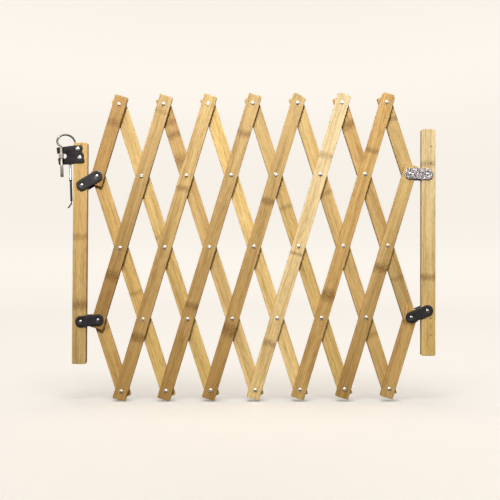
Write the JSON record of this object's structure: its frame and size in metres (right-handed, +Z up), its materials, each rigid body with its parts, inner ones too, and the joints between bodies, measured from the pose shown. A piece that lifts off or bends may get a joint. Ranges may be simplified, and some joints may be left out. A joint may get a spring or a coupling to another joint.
{
  "type": "expanding lattice safety gate",
  "caption": "Bamboo scissor-lattice baby gate between two posts, hung on steel links, with a lift latch on the free post and screw holes in the hinge post.",
  "frame": {"origin": "midway between the upper pair of hinge screw holes, on the hinge post's front face", "axes": "+X across the gate away from the opening, so the lattice and latch run towards -X; +Y from the front face to the back; +Z up"},
  "size_m": [0.9453, 0.0328, 0.7736],
  "materials": {
    "bamboo_front": "satin, warm tan with fine grain and node rings",
    "bamboo_back": "satin, yellow tan with fine grain",
    "bamboo_post": "satin, pale tan",
    "rivet_steel": "bright zinc, domed",
    "black_link": "black japanned steel, semi-gloss",
    "galvanised_link": "mottled galvanised",
    "latch_black": "black, worn at the screws",
    "screw_steel": "bright",
    "tube_steel": "satin",
    "ring_rubber": "matt",
    "dark_wire": "dark, polished by use",
    "pin_steel": "dull, lightly worn"
  },
  "bodies": {
    "hinge_post": {"hinge_post": "bamboo_post"},
    "latch_post": {"latch_post": "bamboo_post", "latch_plate": "latch_black", "latch_screws": "screw_steel", "guide_tube": "tube_steel", "guide_ring": "ring_rubber"},
    "latch_bolt": {"lift_handle": "dark_wire", "locking_pin": "pin_steel"},
    "front_slat_1": {"front_slat_1": "bamboo_front", "rivets_1": "rivet_steel"},
    "back_slat_1": {"back_slat_1": "bamboo_back"},
    "front_slat_2": {"front_slat_2": "bamboo_front", "rivets_2": "rivet_steel"},
    "back_slat_2": {"back_slat_2": "bamboo_back"},
    "front_slat_3": {"front_slat_3": "bamboo_front", "rivets_3": "rivet_steel"},
    "back_slat_3": {"back_slat_3": "bamboo_back"},
    "front_slat_4": {"front_slat_4": "bamboo_front", "rivets_4": "rivet_steel"},
    "back_slat_4": {"back_slat_4": "bamboo_back"},
    "front_slat_5": {"front_slat_5": "bamboo_front", "rivets_5": "rivet_steel"},
    "back_slat_5": {"back_slat_5": "bamboo_back"},
    "front_slat_6": {"front_slat_6": "bamboo_front", "rivets_6": "rivet_steel"},
    "back_slat_6": {"back_slat_6": "bamboo_back"},
    "front_slat_7": {"front_slat_7": "bamboo_front", "rivets_7": "rivet_steel"},
    "back_slat_7": {"back_slat_7": "bamboo_back"},
    "front_slat_8": {"front_slat_8": "bamboo_front", "rivets_8": "rivet_steel"},
    "back_slat_8": {"back_slat_8": "bamboo_back"},
    "front_slat_9": {"front_slat_9": "bamboo_front", "rivets_9": "rivet_steel"},
    "back_slat_9": {"back_slat_9": "bamboo_back"},
    "link_hinge_upper": {"front_link_hinge_upper": "galvanised_link", "back_link_hinge_upper": "black_link", "pins_hinge_upper": "rivet_steel"},
    "link_hinge_lower": {"front_link_hinge_lower": "black_link", "back_link_hinge_lower": "black_link", "pins_hinge_lower": "rivet_steel"},
    "link_latch_upper": {"front_link_latch_upper": "black_link", "back_link_latch_upper": "black_link", "pins_latch_upper": "rivet_steel"},
    "link_latch_lower": {"front_link_latch_lower": "black_link", "back_link_latch_lower": "black_link", "pins_latch_lower": "rivet_steel"}
  },
  "joints": [
    {"name": "upper_link_on_hinge_post", "type": "hinge", "parent": "hinge_post", "child": "link_hinge_upper", "pos_m": [-0.00875, 0.0085, -0.0485], "axis": [0, 1, 0], "range_deg": [-4.95, 16.01]},
    {"name": "lattice_on_upper_link", "type": "hinge", "parent": "link_hinge_upper", "child": "front_slat_8", "pos_m": [-0.05222, 0.0085, -0.047], "axis": [0, 1, 0], "range_deg": [-27.41, 8.45]},
    {"name": "gate_stretch", "type": "hinge", "parent": "front_slat_8", "child": "back_slat_6", "pos_m": [-0.21464, 0.0085, -0.58554], "axis": [0, -1, 0], "range_deg": [-22.8, 7]},
    {"name": "back_slat_7_pivot", "type": "hinge", "parent": "front_slat_8", "child": "back_slat_7", "pos_m": [-0.1605, 0.0085, -0.40602], "axis": [0, -1, 0], "range_deg": [-22.85, 7.05]},
    {"name": "back_slat_8_pivot", "type": "hinge", "parent": "front_slat_8", "child": "back_slat_8", "pos_m": [-0.10636, 0.0085, -0.22651], "axis": [0, -1, 0], "range_deg": [-22.85, 7.05]},
    {"name": "back_slat_9_pivot", "type": "hinge", "parent": "front_slat_8", "child": "back_slat_9", "pos_m": [-0.05222, 0.0085, -0.047], "axis": [0, -1, 0], "range_deg": [-22.85, 7.05]},
    {"name": "front_slat_9_pivot", "type": "hinge", "parent": "back_slat_8", "child": "front_slat_9", "pos_m": [-0.04899, 0.0085, -0.40502], "axis": [0, 1, 0], "range_deg": [-22.85, 7.05]},
    {"name": "front_slat_4_pivot", "type": "hinge", "parent": "back_slat_6", "child": "front_slat_4", "pos_m": [-0.44413, 0.0085, 0.12849], "axis": [0, 1, 0], "range_deg": [-22.85, 7.05]},
    {"name": "front_slat_5_pivot", "type": "hinge", "parent": "back_slat_6", "child": "front_slat_5", "pos_m": [-0.38676, 0.0085, -0.05001], "axis": [0, 1, 0], "range_deg": [-22.85, 7.05]},
    {"name": "front_slat_6_pivot", "type": "hinge", "parent": "back_slat_6", "child": "front_slat_6", "pos_m": [-0.32939, 0.0085, -0.22852], "axis": [0, 1, 0], "range_deg": [-22.85, 7.05]},
    {"name": "front_slat_7_pivot", "type": "hinge", "parent": "back_slat_6", "child": "front_slat_7", "pos_m": [-0.27202, 0.0085, -0.40703], "axis": [0, 1, 0], "range_deg": [-22.85, 7.05]},
    {"name": "back_slat_2_pivot", "type": "hinge", "parent": "front_slat_4", "child": "back_slat_2", "pos_m": [-0.66069, 0.0085, -0.58956], "axis": [0, -1, 0], "range_deg": [-22.85, 7.05]},
    {"name": "back_slat_3_pivot", "type": "hinge", "parent": "front_slat_4", "child": "back_slat_3", "pos_m": [-0.60655, 0.0085, -0.41005], "axis": [0, -1, 0], "range_deg": [-22.85, 7.05]},
    {"name": "back_slat_4_pivot", "type": "hinge", "parent": "front_slat_4", "child": "back_slat_4", "pos_m": [-0.55241, 0.0085, -0.23053], "axis": [0, -1, 0], "range_deg": [-22.85, 7.05]},
    {"name": "back_slat_5_pivot", "type": "hinge", "parent": "front_slat_4", "child": "back_slat_5", "pos_m": [-0.49827, 0.0085, -0.05102], "axis": [0, -1, 0], "range_deg": [-22.85, 7.05]},
    {"name": "front_slat_1_pivot", "type": "hinge", "parent": "back_slat_2", "child": "front_slat_1", "pos_m": [-0.8328, 0.0085, -0.05404], "axis": [0, 1, 0], "range_deg": [-22.85, 7.05]},
    {"name": "front_slat_2_pivot", "type": "hinge", "parent": "back_slat_2", "child": "front_slat_2", "pos_m": [-0.77543, 0.0085, -0.23255], "axis": [0, 1, 0], "range_deg": [-22.85, 7.05]},
    {"name": "front_slat_3_pivot", "type": "hinge", "parent": "back_slat_2", "child": "front_slat_3", "pos_m": [-0.71806, 0.0085, -0.41105], "axis": [0, 1, 0], "range_deg": [-22.85, 7.05]},
    {"name": "back_slat_1_pivot", "type": "hinge", "parent": "front_slat_2", "child": "back_slat_1", "pos_m": [-0.82957, 0.0085, -0.41206], "axis": [0, -1, 0], "range_deg": [-22.85, 7.05]},
    {"name": "lower_hinge_link_pivot", "type": "hinge", "parent": "back_slat_8", "child": "link_hinge_lower", "pos_m": [-0.04899, 0.0085, -0.40502], "axis": [0, 1, 0], "range_deg": [-18.29, 5.65]},
    {"name": "upper_latch_link_pivot", "type": "hinge", "parent": "back_slat_2", "child": "link_latch_upper", "pos_m": [-0.8328, 0.0085, -0.05404], "axis": [0, 1, 0], "range_deg": [-14.3, 4.42]},
    {"name": "latch_post_pivot", "type": "hinge", "parent": "link_latch_upper", "child": "latch_post", "pos_m": [-0.87028, 0.0085, -0.07613], "axis": [0, 1, 0], "range_deg": [-0.93, 2.9]},
    {"name": "lower_latch_link_pivot", "type": "hinge", "parent": "front_slat_2", "child": "link_latch_lower", "pos_m": [-0.82957, 0.0085, -0.41206], "axis": [0, 1, 0], "range_deg": [-9.85, 31.97]},
    {"name": "latch_lift", "type": "slide", "parent": "latch_post", "child": "latch_bolt", "axis": [-0.036, 0, 0.9994], "range_m": [0, 0.049]}
  ],
  "couplings": [
    {"joint": "upper_link_on_hinge_post", "follows": "gate_stretch", "ratio": -0.7},
    {"joint": "lattice_on_upper_link", "follows": "gate_stretch", "ratio": 1.2},
    {"joint": "back_slat_7_pivot", "follows": "gate_stretch", "ratio": 1},
    {"joint": "back_slat_8_pivot", "follows": "gate_stretch", "ratio": 1},
    {"joint": "back_slat_9_pivot", "follows": "gate_stretch", "ratio": 1},
    {"joint": "front_slat_9_pivot", "follows": "gate_stretch", "ratio": 1},
    {"joint": "front_slat_4_pivot", "follows": "gate_stretch", "ratio": 1},
    {"joint": "front_slat_5_pivot", "follows": "gate_stretch", "ratio": 1},
    {"joint": "front_slat_6_pivot", "follows": "gate_stretch", "ratio": 1},
    {"joint": "front_slat_7_pivot", "follows": "gate_stretch", "ratio": 1},
    {"joint": "back_slat_2_pivot", "follows": "gate_stretch", "ratio": 1},
    {"joint": "back_slat_3_pivot", "follows": "gate_stretch", "ratio": 1},
    {"joint": "back_slat_4_pivot", "follows": "gate_stretch", "ratio": 1},
    {"joint": "back_slat_5_pivot", "follows": "gate_stretch", "ratio": 1},
    {"joint": "front_slat_1_pivot", "follows": "gate_stretch", "ratio": 1},
    {"joint": "front_slat_2_pivot", "follows": "gate_stretch", "ratio": 1},
    {"joint": "front_slat_3_pivot", "follows": "gate_stretch", "ratio": 1},
    {"joint": "back_slat_1_pivot", "follows": "gate_stretch", "ratio": 1},
    {"joint": "lower_hinge_link_pivot", "follows": "gate_stretch", "ratio": 0.8},
    {"joint": "upper_latch_link_pivot", "follows": "gate_stretch", "ratio": 0.625},
    {"joint": "latch_post_pivot", "follows": "gate_stretch", "ratio": -0.125},
    {"joint": "lower_latch_link_pivot", "follows": "gate_stretch", "ratio": -1.4}
  ]
}
